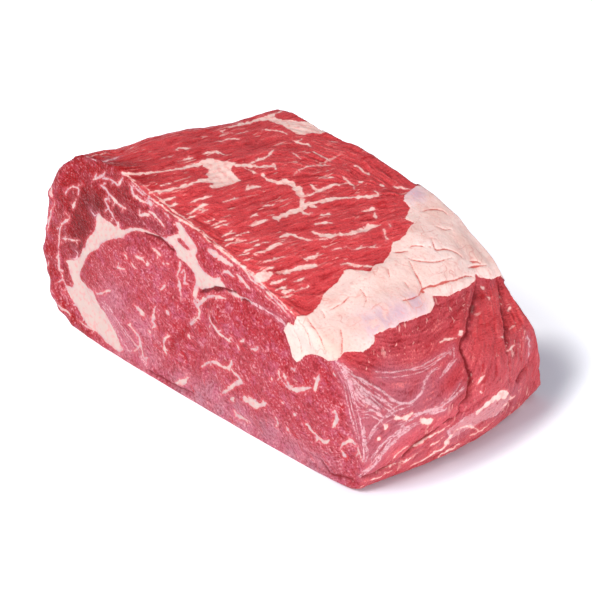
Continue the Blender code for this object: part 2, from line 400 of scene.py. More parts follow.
# Membranes: sheer, with threads in them.
MEMBRANE_LINES = stroke_table("""
0.6: 360,478 373,466 384,452 394,442 401,435 414,426;
0.5: 361,423.6 363,438 364,452 363,462;
0.6: 336,361 348.6,372 361,379 374,386 387,395 394,401 403,403.6 413,402 421,393.6 424,383.6 430,373.6
    438.6,369;
0.6: 338,364 344,376 353,388 357,399 364,406;
0.5: 340,364 348.6,380.7 363,398 376,409;
0.5: 342,366 352,378 366,390 384,402 396,412;
0.6: 358.6,388 367,398 380,410;
0.5: 356,413.6 364,412 373,411 384,419;
0.4: 346,384 350,400 355,420 359,440;
0.5: 430,413.6 441,411 447,408;
0.5: 400,425 420,414 441,406 458.6,392 464,386;
0.3: 451,346 451,355;
0.3: 441,378 451,366 457,359;
0.3: 375,372 395,372 420,366 445,352;
0.4: 366,440 376,425 392,412 410,407;
0.4: 370,460 386,440 404,428 424,420;
0.35: 96,298 108,315 120,336 130,352;
0.35: 104,300 118,320 132,342 148,366
""")
MEMBRANE_AREA = pixel_path("""
478,410 507,392 512,398 497,415 470,426 450,440 447,431 462,420
""")
SIDE_FAT = stroke_table("""
0.9: 384,425 387,429;
0.7: 378,438 379.5,440;
0.5: 383,471 396,465 412,457 424,449;
0.4: 402,455 420,444 438,433 452,424;
0.45: 370,480 380,477 392,471;
0.35: 430,446 444,437;
0.35: 392,460 400,452 408,446;
0.8: 394,418 406,418 413,413.6;
1.3: 421,419 427,422 433,419;
0.6: 440,342 448.6,339 455.7,338;
0.9: 458.6,335 463.6,331;
0: 478,412,1 490,402,1.4 502,394,2 510,397,1.2;
0.6: 454,432 458.6,428 470,426 478.6,431;
1.1: 453,435 448.6,439 444,448 434,451;
0.6: 400,465 407,458;
0.7: 484,376 477,383.6;
0.6: 480,391 482,393;
0.8: 498.6,337 507,336;
0.5: 513,303.6 510,309;
0.8: 482,287 484,289;
0.5: 488,297 490,299;
0.5: 508.6,352 518.6,343.6;
0.5: 475.7,303.6 473,312;
0.5: 395,478 412,471 430,462;
0.4: 378,484 392,479;
0.4: 436,459 450,450 462,442;
0.35: 410,466 424,459 440,449;
0.4: 470,436 482,430 494,421;
0.45: 500,409 508,402 516,396
""")
SLITS = stroke_table("""
0.7: 145,233 152.5,236 160,239 166,244 171,249 174,251;
0: 199.7,293,0.4 206,291,0.7 215,289.4,0.85 223.6,289.7,0.75 229.4,291,0.5 235,292.6,0.3;
0.35: 241,299.5 246,301 250,303.5
""")
CREASES = stroke_table("""
0.8: 477,278 478,286 476,296 473,309 469,322 468,335 463,339 462,348 465,356 468,366 471,376 469,388 467,398
    461,406 458.6,415 451,421 441,429 430,436 416,446 406,455 398.6,463.6 387,469 373,475 363,478;
0.7: 501,281 502,295 505,309 507,323.6 508.6,338 509,349 511,361 511,373.6 512,388;
0.6: 531,366 523,375 518.6,381;
0.4: 320.7,462 329.4,473.8 340,477 351,480;
0.25: 148,371 158,377 170,384 182,390 192,394
""")
SOFT_FOLDS = stroke_table("""
1.2: 189,327 183,333 178,338 173,344 170,350
""")
FLAP_CRACKS = stroke_table("""
0.45: 402.5,301 410,299 419,295 422.5,289 431,287 441,284 452.5,281 462.5,277.5 472.5,276;
0.8: 422,290.5 423.5,291.5;
0.3: 409,261 412.5,269 416,275 420,282.5 422,290;
0.35: 394,252.5 400,252.5 407.5,251;
0.25: 410,247.5 415,246 425,247.5;
0.5: 429,246.5 431,247.5;
0.35: 431,239 433,245 436,250.6 444,249 452.5,251 459,254 462.5,257;
0.2: 387.5,270 390,277.5;
0.2: 404,281 409,287.5;
0.2: 321,310 325,317.5;
0.2: 331,310 341,304 349,297.5;
0.4: 471,261 480,262.5;
0.3: 422,211 431,209 441,208.5 447,211;
0.25: 408,259 420,262 438,262 452,258;
0.2: 360,290 366,298 364,307;
0.2: 436,226 446,229 452,227;
0.4: 469,268 480,266 487.5,265;
0.25: 340,330 342,342 341,355;
0.2: 299,320 308,334 312,348;
0.2: 306,318 318,334 325,350;
0.15: 295,330 301,342 302,354
""")
FLAP_BORDER = pixel_path("""
297,316 307.5,316 312.5,312.5 320,304 322.5,296 329,289 337.5,282.5 344,271 350,269 360,271 370,272.5 375,265
382.5,264 389,255 391,251 392.5,242.5 400,240 406,235 407.5,230 414,222.5 405,219 409,211 410,207.5 404,201
405,195 410,191 417,186 460,190 520,240 502,275 492.5,279 480,277.5 476,274 475,280 469,286 460,290 447.5,296
432.5,296 434,305 430,312.5 420,316 410,320 400,322.5 396,327.5 390,328 374,335 374,342 370,348 363,352
344,352 341,356 337,360 329,361 321,356 311,354 305,355 301,361 297,362 293,357 290,345 286,334 284,330
288,322 294.6,324.5
""")
# Where the hidden back cut ends the flap, it shows as a rim this wide. The flap reaches no lower than this.
FLAP_RIM = 3.2 * MM
FLAP_LOWEST = 30 * MM

# Which way the fibres run, as short arrows in pixels.
FLOW = pixel_paths("""
    100,255 125,275; 130,250 160,275; 100,298 125,325; 125,325 145,365; 112,295 150,340; 160,290 178,312;
    210,310 235,345; 250,310 280,335; 200,395 240,425; 240,425 300,460; 300,460 350,480; 230,350 265,400;
    280,400 330,440; 190,345 220,375; 80,170 110,200; 60,235 60,275; 60,285 80,325; 65,180 62,215; 150,210
    200,250; 200,250 250,295; 300,365 340,400; 130,170 190,152; 150,196 210,178; 240,212 300,190; 320,206
    370,196; 315,238 380,226; 240,246 300,224; 285,275 320,262; 210,140 260,125; 300,150 350,160; 350,150
    380,175; 345,375 400,402; 375,362 440,348; 440,370 460,335; 360,475 410,432; 410,432 462,392; 487,370
    483,300; 525,360 515,310; 440,445 500,408; 420,320 470,300
""")
FLOW_REACH = 13 * MM
DEFAULT_FLOW_WEIGHT = 0.003

# The back cut shows what the front one does, drawn in to its smaller section and warped a little by two
# noises, which are that far apart.
BACK_SCALE = 0.93
BACK_SHIFT = 6 * MM
BACK_WARP = 3.5 * MM
BACK_WARP_SIZE = 26 * MM
BACK_WARP_APART = 100 * MM

# How far along Y the two cuts at least face, and where rays that look for the front one start.
BACK_FACING = 0.72
FRONT_FACING = -0.5
BEFORE_FRONT = -200 * MM

# Streaks along the fibres: the size of their noise, then how far it is smeared, both in millimetres.
STREAKS = {"fine": (0.95, 4.0), "coarse": (2.4, 9.0)}
SMEAR_STEPS = 6

# Places to press in or draw out, so that the outline fits: pixel, radius and height in millimetres.
NUDGES = pixel_path("""
95,152,15,-2.2 120,148,12,-1.2 478,232,16,-2.2 462,205,12,-1.2 533,340,14,-2.2 520,300,10,-1.2 52,288,9,1.2
57,302,8,1.6 72,168,9,-1.2 49,192,3,1 47,228,2.5,0.6 45,248,3,0.7 48,270,2.5,0.6 53,292,3,0.7 62,308,2.5,0.8
74,324,3,0.9 88,336,2.5,0.8 104,349,3,0.9 92,152,2.5,0.6 534,362,3,-1.4 541,378,8,-1.3 534,388,7,-1
""")

# Washes of colour on the lean: the colour, how strong it is, its radius in millimetres, and pixels it is at.
WASHES = (
    (CAP, 1, 13, "80,185 100,200 85,215 112,188 128,196"),
    (CAP, 0.8, 8, "75,235 72,255 66,270 70,205"),
    (CAP_DEEP, 0.8, 6, "84,200 95,205 80,225 76,240 112,205"),
    (CAP, 0.8, 6, "68,182 63,198 61,214 96,174 84,168 120,204 106,188 62,232"),
    (SIDE_BRIGHT, 0.6, 9, "415,440 440,428 395,450 460,415"),
    (CAP_PURPLE, 0.8, 7, "140,222 158,226 172,230 128,218"),
    (RIM, 1, 5, "55,230 52,250 52,270 56,290 66,305 74,318 84,333 98,345"),
    (RIM, 0.9, 7, "80,163 95,160 66,175 110,162 95,169 122,168 62,184"),
    (CUT_DEEP, 0.9, 8, "215,310 240,308 262,320 278,335 246,325 282,350"),
    (CUT_DEEP, 0.7, 6, "205,255 215,268 240,285 265,300 195,240"),
    (CUT_DEEP, 0.6, 5, "88,268 96,252 110,247 186,290 188,305"),
    (CUT_DEEP, 0.6, 6, "175,345 165,362 300,375 330,372 345,395 335,400"),
    (CUT_PALE, 0.9, 9, "110,318 125,345 150,360 115,300 140,330"),
    (CUT_BAND, 0.8, 6, "180,386 200,398 222,411 245,425 268,439 292,453 316,467 210,392 240,412 "
        "270,431"),
    (CUT_PALE, 0.7, 8, "215,400 245,420 275,437 300,452 325,468 190,388"),
    (SIDE_PALE, 1, 8, "385,375 400,392 375,400 395,420 375,435 415,405 430,390"),
    (SIDE_PALE, 0.6, 5, "396,464 418,452 440,440 376,474 462,430 500,412 515,400"),
    (SIDE_PALE, 0.8, 6, "372,455 385,440 440,400 350,385 368,425"),
    (SIDE_DEEP, 0.9, 8, "370,360 400,340 430,320 455,305 430,350 455,380"),
    (SIDE_PALE, 0.8, 5, "505,400 490,412 470,425 450,440 515,390"),
)
FLAP_WASHES = (
    # Painted shade on the flap's left end, where it wraps onto the cut face and takes the key lamp straight
    # on.
    (FLAP_END_PAINTED_SHADE, 0.85, 6.5, "290,332 295,345 304,340 312,350 326,356 338,354"),
    # Painted light on the flap's right part, which faces away from the key lamp.
    (FLAP_PAINTED_LIGHT, 0.8, 9, "440,212 462,236 430,240 478,256 425,200 445,262"),
    (FLAP_STAIN, 0.5, 6, "470,245 478,256 462,238 436,209 330,345"),
    (FLAP_LAVENDER, 0.9, 6, "385,318 398,312 370,325 415,303 414,195"),
    (FLAP_SHADE, 0.4, 7, "350,345 300,350 450,270 440,215 415,270 400,290 425,230"),
)

# Relief in millimetres. A rise is between two depths inside a stroke, where a minus is outside it.
SLIT_DEPTH = 0.7
SLIT_RISE = (-0.7, 0.5)
CREASE_DEPTH = 1.2
CREASE_SPREAD = 0.75
SEAM_SINK = 0.2
SEAM_RISE = (-0.6, 1.0)
FLAP_LIFT = 0.5
FLAP_RISE = (-0.35, 0.7)
CRACK_DEPTH = 0.3
CRACK_SPREAD = 0.4
FOLD_DEPTH = 0.6
FOLD_RISE = (-2.5, 1.2)
STREAK_RIDGES = {"fine": 0.06, "coarse": 0.12}
STREAKS_OFF_CUT = 0.6
FLOOR_FADE = (0.2, 3.0)

# Lumps, each as its depth and its size in millimetres.
FLAP_LUMPS = ((0.7, 13.0), (0.12, 3.5))
CUT_LUMPS = ((0.5, 8.0), (0.14, 2.6))
TOP_LUMPS = ((0.5, 9.0), (0.12, 2.8))
SIDE_LUMPS = ((0.5, 11.0), (0.16, 3.2))

# The power that sharpens the borders between top, cut and side, and the shares between which a cut sets in.
ZONE_SHARPNESS = 3
CUT_RISE = (0.4, 0.7)

# Noises about 0 that make lean lighter and darker, and that waver edges: scale, detail and distortion, then
# strength.
TONES = {
    "patches": ((0.1, 3.0), 3.2),
    "hairs": ((1.4, 4.0), 4.5),
    "hairs along": ((1.7, 4.0, 0.4), 5.5),
    "bundles": ((1.1, 4.0), 10.5),
    "bundles along": ((0.75, 4.0, 0.5), 6.5),
    "ragged": ((1.1, 3.0), 1.0),
    "wavering": ((0.33, 2.0), 1.2),
}
STREAK_TONES = {"fine": 0.5, "coarse": 0.3}
STREAKS_ON_CUT = 0.4

# Patterns of cells, for bundles on the cuts and cracks in the flap: how far places are pushed about in
# millimetres, the scale of the noise that does so, and the scale of the cells.
FASCICLES = (1.0, 1.0, 0.7)
FASCICLE_TONE = -1.8
FINE_CRACKS = (14.0, 0.12, 0.09)

# Marks where a noise is high: its scale, detail and distortion, then from and to, and how strong it becomes.
MARKS = {
    "purple": ((0.24, 5.0, 0.4), (0.48, 0.66, 0.6)),
    "deep": ((0.3, 4.0, 0.6), (0.58, 0.72, 0.7)),
    "flecked area": ((0.06,), (0.44, 0.58)),
    "streak": ((0.6, 3.0, 0.5), (0.61, 0.67, 0.8)),
    "speck": ((0.62, 2.0, 0.6), (0.69, 0.73, 0.7)),
    "whole membrane": ((0.4, 5.0, 0.8), (0.3, 0.52)),
    "pink fat": ((0.5, 4.0), (0.46, 0.66, 0.8)),
    "shaded fat": ((0.22, 4.0), (0.42, 0.6, 0.7)),
    "shaded flap": ((0.16, 5.0, 0.6), (0.45, 0.68, 0.9)),
    "pink flap": ((0.9, 4.0), (0.52, 0.75, 0.6)),
    "cracked flap": ((0.1,), (0.45, 0.62)),
}

# Where a colour sets in: from and to, as depths inside a stroke in millimetres, and how strong it becomes.
# Then how far ragged edges stray.
EDGES = {
    "fat": (-0.28, 0.22),
    "thick fat": (-0.1, 0.45),
    "fat edge": (1.4, 0.2),
    "halo": (-1.5, 0.0, 0.4),
    "pale": (-0.25, 0.2, 0.68),
    "thick pale": (0.5, 1.5),
    "sheen": (-3.0, -0.1, 0.33),
    "flap": (-0.2, 0.2),
    "crack": (-0.3, 0.25, 0.85),
    "crease": (-0.65, 0.45, 0.85),
    "slit": (-0.5, 0.3, 0.95),
    "fold": (-2.2, 1.0, 0.6),
}
RAGGEDNESS = {"fat": 1.0, "pale": 0.4, "flap": 0.9, "crack": 0.3, "crease": 0.5, "slit": 0.4}

# The same for lean, by its tone or brightness, and for fine cracks, by the distance to one.
DARKER = (0.1, -2.2, 0.85)
LIGHTER = (0.4, 2.8, 0.9)
LIGHTENING = 0.7
LIGHTER_ON_CUT = 0.8
MARBLED_BRIGHTNESS = (0.05, 0.1)
LIGHTER_IF_MARBLED = (-0.8, 1.0)
FINE_CRACK_EDGE = (0.05, 0.0, 0.6)

# The surface of lean, then of fat, and what lies under both.
LEAN_ROUGHNESS = 0.36
FAT_ROUGHNESS = 0.5
SPECULAR_LEVEL = 0.14
SUBSURFACE_WEIGHT = 0.12
SUBSURFACE_RADIUS = (1.0, 0.3, 0.22)
SUBSURFACE_SCALE = 1.0 * MM
BUMP_STRENGTH = 0.6
BUMP_DEPTH = 0.16 * MM
FAT_BUMP = 0.8
FLAP_BUMP = 4.0
FLAP_BUMP_NOISE = (0.3, 4.0, 0.5)

# The floor: half its width in metres, how far under the meat it lies, so that they don't touch, and its look.
FLOOR_HALF_WIDTH = 4.0
FLOOR_DROP = 0.2 * MM
FLOOR_ROUGHNESS = 0.9

# The floor glows where it lies farther from the middle of the shadow, all in millimetres. The squeeze makes
# the dark area longer that way.
SHADOW_MIDDLE = (80, 15, 0)
GLOW_DISTANCES = (26, 40)
FLOOR_GLOW = 0.5
SHADOW_SQUEEZE = (1, 0.45, 1)

# Lights: place and size in metres, then watts. Both are aimed at the meat.
LIGHTS = {"key": ((-0.18, -0.8, 0.85), 0.5, 11), "fill": ((1.1, -0.35, 0.22), 0.5, 8)}
SKY_STRENGTH = 0.42


def linear(colour):
    """A display colour from 0 to 255 as the linear values that Blender works in."""
    shares = [value / 255 for value in colour]
    return [s / 12.92 if s <= 0.04045 else ((s + 0.055) / 1.055) ** 2.4 for s in shares]


def smooth_step(values, low, high):
    """0 below low, 1 above high, and a smooth rise between."""
    share = np.clip((values - low) / (high - low), 0, 1)
    return share * share * (3 - 2 * share)


def noise_at(places, size):
    """Smooth noise from about -1 to 1 at each place, with lumps of that size."""
    return np.array([noise.noise(place) for place in (places / size).tolist()])


def camera_axes():
    """The camera's own directions: back towards it, right and up."""
    back = np.array([
        math.sin(CAMERA_AZIMUTH) * math.cos(CAMERA_ELEVATION),
        -math.cos(CAMERA_AZIMUTH) * math.cos(CAMERA_ELEVATION),
        math.sin(CAMERA_ELEVATION),
    ])
    right = np.array([math.cos(CAMERA_AZIMUTH), math.sin(CAMERA_AZIMUTH), 0])
    return back, right, np.cross(back, right)


BACK, RIGHT, UP = camera_axes()
CAMERA_PLACE = CAMERA_TARGET + CAMERA_DISTANCE * BACK


def ray_through(pixel):
    """Direction in which the camera sees a pixel."""
    across = (pixel[0] - IMAGE_WIDTH / 2) / FOCAL_PIXELS
    down = (pixel[1] - IMAGE_HEIGHT / 2) / FOCAL_PIXELS
    return RIGHT * across - UP * down - BACK


def pixels_of(places):
    """Where the camera sees each place."""
    offsets = places - CAMERA_PLACE
    depth = -(offsets @ BACK)
    return np.column_stack([
        IMAGE_WIDTH / 2 + FOCAL_PIXELS * (offsets @ RIGHT) / depth,
        IMAGE_HEIGHT / 2 - FOCAL_PIXELS * (offsets @ UP) / depth,
    ])


def remeshed(node):
    """A new mesh of even quads over the node's solid."""
    welded = bmesh.new()
    welded.from_mesh(node.data)
    bmesh.ops.remove_doubles(welded, verts=welded.verts, dist=WELD_DISTANCE)
    mesh = bpy.data.meshes.new("ribeye_base")
    welded.to_mesh(mesh)
    welded.free()
    holder = bpy.data.objects.new("ribeye_base", mesh)
    bpy.context.scene.collection.objects.link(holder)
    remesh = holder.modifiers.new("Even quads", "REMESH")
    remesh.mode = "VOXEL"
    remesh.voxel_size = VOXEL
    evaluated = holder.evaluated_get(bpy.context.evaluated_depsgraph_get())
    result = bpy.data.meshes.new_from_object(evaluated)
    bpy.data.objects.remove(holder)
    return result


def refine_shown_side(mesh):
    """Halve the quads that face the camera."""
    fine = bmesh.new()
    fine.from_mesh(mesh)
    fine.normal_update()
    towards = Vector(BACK)
    edges = {edge for face in fine.faces if face.normal.dot(towards) > SHOWN_FACING for edge in face.edges}
    bmesh.ops.subdivide_edges(fine, edges=list(edges), cuts=1, use_grid_fill=True)
    fine.to_mesh(mesh)
    fine.free()


def rows_of(items, key, length, kind=np.float32):
    """What the mesh keeps for each of its items under that key, as rows of numbers."""
    values = np.zeros(len(items) * length, kind)
    items.foreach_get(key, values)
    return values.reshape(-1, length)


def smoothed(values, edges, rounds):
    """Each row moved to the mean of its neighbours, round after round."""
    first, second = edges.T
    count = len(values)
    neighbours = np.bincount(first, minlength=count) + np.bincount(second, minlength=count)
    for _ in range(rounds):
        columns = [
            np.bincount(first, column[second], count) + np.bincount(second, column[first], count)
            for column in values.T
        ]
        values = 0.5 * values + 0.5 * np.column_stack(columns) / neighbours[:, None]
    return values


def set_places(mesh, places):
    mesh.vertices.foreach_set("co", places.astype(np.float32).ravel())
    mesh.update()


def smooth_path(points):
    """Points a step apart on a smooth curve through the given ones."""
    points = np.array(points, float)
    before, after = 2 * points[:1] - points[1:2], 2 * points[-1:] - points[-2:-1]
    padded = np.concatenate([before, points, after])
    stretches = []
    for a, b, c, d in zip(padded, padded[1:], padded[2:], padded[3:]):
        count = max(2, int(np.linalg.norm((c - b)[:2]) / STROKE_STEP))
        t = (np.arange(count) / count)[:, None]
        bend = (2 * a - 5 * b + 4 * c - d) * t ** 2 + (3 * b - 3 * c + d - a) * t ** 3
        stretches.append((2 * b + (c - a) * t + bend) / 2)
    return np.concatenate([*stretches, points[-1:]])


def stroke_points(half_width, points, draw):
    """The stroke as close points (x, y, half width), which waver; an even one thins towards its ends."""
    path = smooth_path(points)
    if len(points[0]) == 2:
        share = np.linspace(0, 1, len(path))
        thinning = STROKE_END_SHARE + (1 - STROKE_END_SHARE) * np.sqrt(np.sin(math.pi * share).clip(0))
        path = np.column_stack([path, half_width * thinning])
    for point in path:
        point[0] += draw.gauss(0, STROKE_SHAKE)
        point[1] += draw.gauss(0, STROKE_SHAKE)
        point[2] *= draw.uniform(*WIDTH_WAVER)
    return path


def widened(strokes, factor):
    """The strokes, made that many times as wide."""
    return [
        (factor * half_width, [(*point[:2], *(factor * width for width in point[2:])) for point in points])
        for half_width, points in strokes
    ]


def with_twigs(strokes, draw, angles):
    """The strokes, and short thin twigs that leave them at an angle within that range."""
    grown = list(strokes)
    for half_width, points in strokes:
        path = smooth_path([point[:2] for point in points])
        since = draw.uniform(0, TWIG_SPACING)
        for here, following in zip(path, path[1:]):
            step = following - here
            since += np.linalg.norm(step)
            if since < TWIG_SPACING:
                continue
            since = draw.uniform(0, TWIG_SPACING / 2)
            side = draw.choice((-1, 1))
            heading = math.atan2(step[1], step[0]) + side * math.radians(draw.uniform(*angles))
            middle = here + draw.uniform(*TWIG_LENGTHS) / 2 * np.array([math.cos(heading), math.sin(heading)])
            heading += draw.gauss(0, TWIG_BEND)
            tip = middle + draw.uniform(*TWIG_LENGTHS) / 2 * np.array([math.cos(heading), math.sin(heading)])
            width = TWIG_SHARE * max(half_width, TWIG_LEAST_PARENT)
            grown.append((width, (tuple(here), tuple(middle), tuple(tip))))
    return grown


def fanned(strokes, draw):
    """Each stroke as a few thin threads that run beside each other."""
    threads = []
    for half_width, points in strokes:
        threads.append((MAIN_THREAD_SHARE * half_width, points))
        for _ in range(THREADS):
            shift = np.array([draw.gauss(0, THREAD_SPREAD), draw.gauss(0, THREAD_SPREAD)])
            moved = [
                tuple(np.array(point) + shift + (draw.gauss(0, THREAD_SHAKE), draw.gauss(0, THREAD_SHAKE)))
                for point in points
            ]
            threads.append((half_width * draw.uniform(*THREAD_SHARES), moved))
    return threads


def cast_pixel(tree, pixel):
    """The place on the skin that the camera sees at a pixel, or None."""
    return tree.ray_cast(Vector(CAMERA_PLACE), Vector(ray_through(pixel)))[0]


def cast_path(tree, path):
    """Points (x, y, half width) as runs of (place, half width) on the skin, broken at a jump."""
    runs, run = [], []
    for x, y, width in path:
        spot = cast_pixel(tree, (x, y))
        if spot is None:
            continue
        here = np.array([*spot, width * MM])
        if run and np.linalg.norm(here[:3] - run[-1][:3]) > BIGGEST_JUMP:
            runs.append(np.array(run))
            run = []
        run.append(here)
    if run:
        runs.append(np.array(run))
    return runs


def cast_all(tree, strokes, draw):
    """All the strokes as runs on the skin."""
    return [run for stroke in strokes for run in cast_path(tree, stroke_points(*stroke, draw))]


def field_of(places, runs):
    """In millimetres, how deep each place lies inside the nearest stroke, or, below 0, how far outside."""
    field = np.full(len(places), -STROKE_REACH)
    for run in runs:
        if len(run) == 1:
            run = np.concatenate([run, run])
        for start, end in zip(run, run[1:]):
            low = np.minimum(start, end)[:3] - STROKE_REACH
            high = np.maximum(start, end)[:3] + STROKE_REACH
            near = np.nonzero(((places > low) & (places < high)).all(axis=1))[0]
            spots = places[near]
            along = end[:3] - start[:3]
            share = ((spots - start[:3]) @ along / max(along @ along, TINY)).clip(0, 1)
            distance = np.linalg.norm(spots - start[:3] - share[:, None] * along, axis=1)
            depth = start[3] + share * (end[3] - start[3]) - distance
            field[near] = np.maximum(field[near], depth)
    return field / MM


class Grouped:
    """Places sorted into slabs along X, so that a stroke looks only at those near it."""

    def __init__(self, places):
        self.order = np.argsort(places[:, 0])
        self.sorted = places[self.order]

    def field(self, runs):
        field = np.full(len(self.sorted), -STROKE_REACH / MM)
        for run in runs:
            low, high = run[:, 0].min() - STROKE_REACH, run[:, 0].max() + STROKE_REACH
            start, end = np.searchsorted(self.sorted[:, 0], (low, high))
            block = field_of(self.sorted[start:end], [run])
            field[start:end] = np.maximum(field[start:end], block)
        unsorted = np.empty_like(field)
        unsorted[self.order] = field
        return unsorted


def inside_loops(pixels, loops):
    """Whether each pixel lies inside the loops, of which a later one may be a hole."""
    inside = np.zeros(len(pixels), bool)
    x, y = pixels.T
    for loop in loops:
        for (x1, y1), (x2, y2) in zip(loop, (*loop[1:], loop[0])):
            if y1 == y2:
                continue
            crosses = (y1 > y) != (y2 > y)
            inside ^= crosses & (x < (x2 - x1) * (y - y1) / (y2 - y1) + x1)
    return inside


def area_field(places, shown, tree, grouped, loops):
    """In millimetres, how deep each place lies inside the loops, or, below 0, how far outside."""
    runs = []
    for loop in loops:
        border = [(x, y, 0.0) for x, y in (*loop, loop[0])]
        runs += cast_path(tree, border)
    distance = -grouped.field(runs)
    inside = inside_loops(pixels_of(places), loops) & shown
    return np.where(inside, distance, -distance)


def flap_field(places, normals, tree, grouped):
    """The field of the flap of fat, which also shows as a rim where the hidden back cut ends it."""
    shown = normals @ BACK > 0
    field = area_field(places, shown, tree, grouped, (FLAP_BORDER,))
    flap_places = places[shown & (field > 0)]
    known = KDTree(len(flap_places))
    for number, place in enumerate(flap_places):
        known.insert(place, number)
    known.balance()
    for number in np.nonzero(~shown & (places[:, 0] > 0) & (places[:, 2] > FLAP_LOWEST))[0]:
        distance_behind = known.find(places[number])[2]
        field[number] = max(-STROKE_REACH, FLAP_RIM - distance_behind) / MM
    return field


def twins_on_front(places, normals, tree):
    """For marks and colours, each place on the back cut stands for its like on the front cut."""
    twins, facing = places.copy(), normals.copy()
    back = np.nonzero(normals[:, 1] > BACK_FACING)[0]
    warp = [BACK_WARP * noise_at(places[back] + BACK_WARP_APART * axis, BACK_WARP_SIZE) for axis in (1, 2)]
    x = (places[back, 0] - BACK_SHIFT) / BACK_SCALE + warp[0]
    z = places[back, 2] / BACK_SCALE + warp[1]
    for number, across, up in zip(back, x, z):
        spot, normal = tree.ray_cast(Vector((across, BEFORE_FRONT, up)), Vector((0, 1, 0)))[:2]
        if spot is not None and normal.y < FRONT_FACING:
            twins[number] = spot
            facing[number] = normal
    return twins, facing


def hidden_veins(tree):
    """Wandering veins on the left side, the back and the underside."""
    draw = random.Random(HIDDEN_SEED)
    low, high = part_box("ribeye")
    runs = []
    for _ in range(HIDDEN_VEINS):
        side = draw.choice(("left", "left", "under", "under", "back"))
        x, y, z = (draw.uniform(low[axis], high[axis]) for axis in range(3))
        start = {"left": (low.x, y, z), "under": (x, y, low.z), "back": (x, high.y, z)}[side]
        heading = draw.gauss(0, HIDDEN_HEADING)
        length = draw.uniform(*HIDDEN_LENGTHS) * MM
        half_width = draw.uniform(*HIDDEN_HALF_WIDTHS) * MM
        step = HIDDEN_STEP * MM
        count = max(3, int(length / step))
        place = Vector(start)
        run = []
        for number in range(count):
            heading += draw.gauss(0, HIDDEN_TURN)
            if side == "back":
                turned = heading * BACK_TURN_FACTOR
                place = place + step * Vector((math.cos(turned), 0, math.sin(turned)))
            elif side == "left":
                place = place + step * Vector((0, math.cos(heading), math.sin(heading)))
            else:
                place = place + step * Vector((math.sin(heading), math.cos(heading), 0))
            spot = tree.find_nearest(place)[0]
            thinning = math.sin(math.pi * (number + 0.5) / count) ** 0.5
            run.append(np.array([*spot, half_width * thinning]))
            place = Vector(spot)
        runs.append(np.array(run))
    return runs


def zone_shares(normals):
    """How much of each place is top, underside, cut and side, as shares that add up to 1."""
    x, y, z = normals.T
    return {"top": z.clip(0) ** 2, "under": z.clip(max=0) ** 2, "cut": y ** 2, "side": x ** 2}


def lean_colours(places, normals, tree):
    """The colour of the lean at each place, before its fibres and marbling."""
    zones = zone_shares(normals)
    sharper = {name: share ** ZONE_SHARPNESS for name, share in zones.items()}
    total = sum(sharper.values())
    # The cut's colour is darker than the top's, partly painted shade against the stronger light on the cut
    # faces.
    base = {"top": TOP_LEAN, "under": UNDER_LEAN, "cut": CUT_LEAN, "side": SIDE_LEAN}
    colours = sum(
        (sharper[name] / total)[:, None] * np.array(linear(colour)) for name, colour in base.items()
    )
    return washed(colours, places, tree, WASHES)


def washed(colours, places, tree, washes):
    """The colours with each wash laid over them."""
    for colour, strength, radius, pixels in washes:
        nearest = np.full(len(places), np.inf)
        for pixel in pixel_path(pixels):
            spot = cast_pixel(tree, pixel)
            if spot is not None:
                nearest = np.minimum(nearest, ((places - np.array(spot)) ** 2).sum(axis=1))
        share = strength * np.exp(-nearest / (radius * MM) ** 2)[:, None]
        colours = colours + share * (np.array(linear(colour)) - colours)
    return colours


def flow_directions(places, normals, tree):
    """Which way the fibres run at each place, along the surface."""
    default = (math.sin(TOP_FIBRE_ANGLE), math.cos(TOP_FIBRE_ANGLE), 0)
    flow = np.tile(np.array(default) * DEFAULT_FLOW_WEIGHT, (len(places), 1))
    for start, end in FLOW:
        start, end = (np.array(cast_pixel(tree, pixel)) for pixel in (start, end))
        arrow = (end - start) / np.linalg.norm(end - start)
        squared = ((places - (start + end) / 2) ** 2).sum(axis=1)
        flow += np.exp(-squared / FLOW_REACH ** 2)[:, None] * arrow
    flow -= (flow * normals).sum(axis=1, keepdims=True) * normals
    return flow / np.maximum(np.linalg.norm(flow, axis=1, keepdims=True), TINY)


def smeared_noise(places, flow, size, length):
    """Noise of that size, smeared along the flow over that length, with a mean of 0 and a spread of 1."""
    offsets = np.linspace(-length / 2, length / 2, 2 * SMEAR_STEPS + 1) * MM
    total = sum(noise_at(places + offset * flow, size * MM) for offset in offsets)
    return (total - total.mean()) / total.std()


def squeezed(first, second, third, angle, stretch):
    """Coordinates with the first and the third turned by the angle, and the third squeezed after that."""
    sin, cos = math.sin(angle), math.cos(angle)
    return np.column_stack([first * cos - third * sin, second, (first * sin + third * cos) / stretch])


def grain_coordinates(places, normals):
    """Coordinates in millimetres that are squeezed along the fibres, so that even marks become streaks."""
    x, y, z = places.T / MM
    flat = squeezed(x, z, y, TOP_FIBRE_ANGLE, TOP_STRETCH)
    upright = squeezed(y, x, z, SIDE_FIBRE_ANGLE, SIDE_STRETCH)
    across = squeezed(x, y, z, CUT_FIBRE_ANGLE, CUT_STRETCH)
    zones = zone_shares(normals)
    names = list(zones)
    chosen = np.argmax(list(zones.values()), axis=0)[:, None]
    return np.select([chosen == names.index("side"), chosen == names.index("cut")], [upright, across], flat)


def lumps(places, sizes):
    """A sum of noises, each of a depth and a size, in millimetres."""
    return sum(depth * noise_at(places, size) for depth, size in sizes)


def nearest_shown(places, normals, pixel):
    """The place on the shown side that the camera sees nearest to a pixel."""
    apart = np.linalg.norm(pixels_of(places) - pixel, axis=1)
    apart[normals @ BACK < 0] = np.inf
    return places[apart.argmin()]


